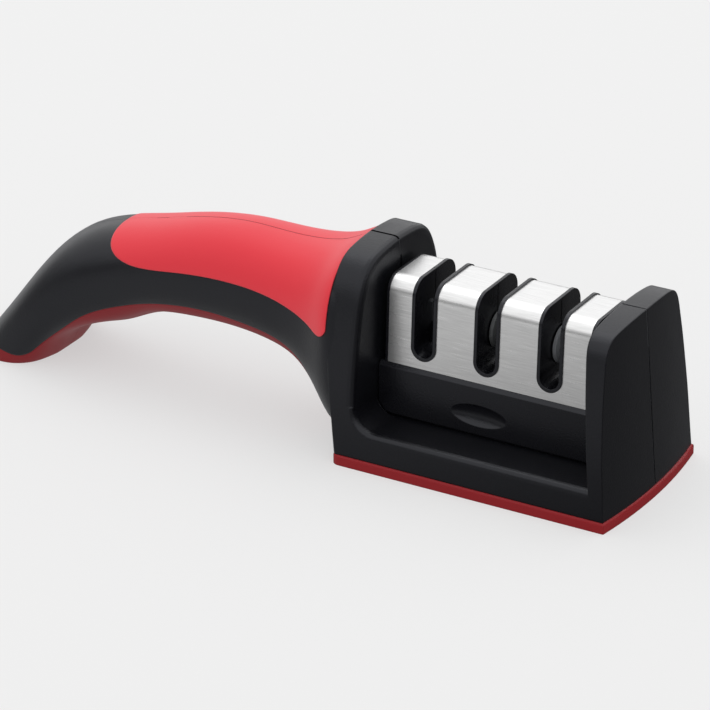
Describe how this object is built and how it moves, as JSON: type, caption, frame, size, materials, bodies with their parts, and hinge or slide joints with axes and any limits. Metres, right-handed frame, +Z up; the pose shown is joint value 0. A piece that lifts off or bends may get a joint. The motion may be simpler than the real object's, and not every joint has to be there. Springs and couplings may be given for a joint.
{
  "type": "pull-through knife sharpener",
  "caption": "Hand-held kitchen knife sharpener with an arched soft-grip handle and a cradle holding a lift-out steel-covered cartridge with knife slots.",
  "frame": {"origin": "middle of the flat underside of the base pad under the cartridge block", "axes": "+X along the length away from the handle, +Y to the rear, +Z up"},
  "size_m": [0.2099, 0.0538, 0.057],
  "materials": {
    "black_plastic": "fine-grained satin",
    "frame_plastic": "satin with glossy slot rims",
    "red_grip": "soft matt",
    "dark_red_grip": "soft matt",
    "brushed_steel": "brushed along its length",
    "screw_steel": "bright zinc",
    "carbide": "ground",
    "diamond_grit": "fine grit",
    "white_ceramic": "matt"
  },
  "bodies": {
    "body": {"shell_front": "black_plastic", "shell_rear": "black_plastic", "top_grip_front": "red_grip", "top_grip_rear": "red_grip", "finger_grip_front": "dark_red_grip", "finger_grip_rear": "dark_red_grip", "shell_screws": "screw_steel", "base_plate": "black_plastic", "base_screws": "screw_steel", "base_pad": "dark_red_grip"},
    "cartridge": {"steel_cover": "brushed_steel", "cartridge_frame_front": "frame_plastic", "cartridge_frame_rear": "frame_plastic", "cartridge_screws": "screw_steel", "blade_holder": "frame_plastic", "carbide_blade_front": "carbide", "carbide_blade_rear": "carbide", "diamond_axle": "screw_steel", "ceramic_axle": "screw_steel"},
    "diamond_wheel_left_body": {"diamond_wheel_left": "diamond_grit"},
    "diamond_wheel_right_body": {"diamond_wheel_right": "diamond_grit"},
    "ceramic_wheel_left_body": {"ceramic_wheel_left": "white_ceramic"},
    "ceramic_wheel_right_body": {"ceramic_wheel_right": "white_ceramic"}
  },
  "joints": [
    {"name": "cartridge_lift", "type": "slide", "parent": "body", "child": "cartridge", "axis": [0, 0, 1], "range_m": [0, 0.055]},
    {"name": "diamond_left_spin", "type": "hinge", "parent": "cartridge", "child": "diamond_wheel_left_body", "pos_m": [-0.0025, 0, 0.0373], "axis": [1, 0, 0], "continuous": true},
    {"name": "diamond_right_spin", "type": "hinge", "parent": "cartridge", "child": "diamond_wheel_right_body", "pos_m": [-0.0025, 0, 0.0373], "axis": [1, 0, 0], "continuous": true},
    {"name": "ceramic_left_spin", "type": "hinge", "parent": "cartridge", "child": "ceramic_wheel_left_body", "pos_m": [0.0162, 0, 0.0373], "axis": [1, 0, 0], "continuous": true},
    {"name": "ceramic_right_spin", "type": "hinge", "parent": "cartridge", "child": "ceramic_wheel_right_body", "pos_m": [0.0162, 0, 0.0373], "axis": [1, 0, 0], "continuous": true}
  ]
}
